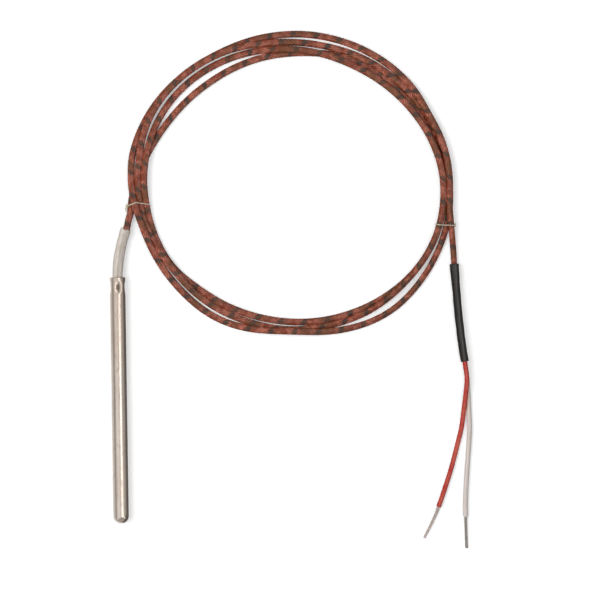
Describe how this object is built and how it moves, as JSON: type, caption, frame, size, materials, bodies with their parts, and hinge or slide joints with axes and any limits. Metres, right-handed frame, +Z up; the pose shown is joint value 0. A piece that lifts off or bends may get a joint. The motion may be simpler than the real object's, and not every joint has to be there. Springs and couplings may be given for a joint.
{
  "type": "thermocouple",
  "caption": "Stainless probe thermocouple with a crimped glass-fibre sleeve, a coiled braided lead held by thread ties, a heat-shrink joint and two insulated legs with bare ends.",
  "frame": {"origin": "on the surface the object lies on, under the middle of the probe sheath", "axes": "+Y along the probe from its closed tip towards the mouth and the lead, +Z up out of the surface, +X towards the coiled lead"},
  "size_m": [0.1487, 0.2153, 0.0063],
  "materials": {
    "stainless_sheath": "drawn satin",
    "iron_wire": "dull stranded",
    "constantan_wire": "dull stranded",
    "alumina_bead": "fired matte",
    "potting": "matte",
    "glass_sleeve": "treated glass braid",
    "lead_braid": "varnished glass braid with dark tracer",
    "tie_thread": "cotton thread",
    "shrink_tube": "matte polyolefin",
    "red_sleeving": "coated glass braid",
    "white_sleeving": "coated glass braid"
  },
  "bodies": {
    "root": {"probe_sheath": "stainless_sheath", "sheath_tip_plug": "stainless_sheath", "measuring_junction": "iron_wire", "iron_wire_hot_end": "iron_wire", "constantan_wire_hot_end": "constantan_wire", "insulator_bead_1": "alumina_bead", "insulator_bead_2": "alumina_bead", "insulator_bead_3": "alumina_bead", "insulator_bead_4": "alumina_bead", "potting_cement": "potting", "fibreglass_sleeve": "glass_sleeve", "lead_start": "lead_braid", "lead_coil": "lead_braid", "lead_end": "lead_braid", "coil_tie_left": "tie_thread", "coil_tie_right": "tie_thread", "heat_shrink": "shrink_tube", "red_insulation": "red_sleeving", "white_insulation": "white_sleeving", "constantan_conductor": "constantan_wire", "iron_conductor": "iron_wire"}
  },
  "joints": []
}
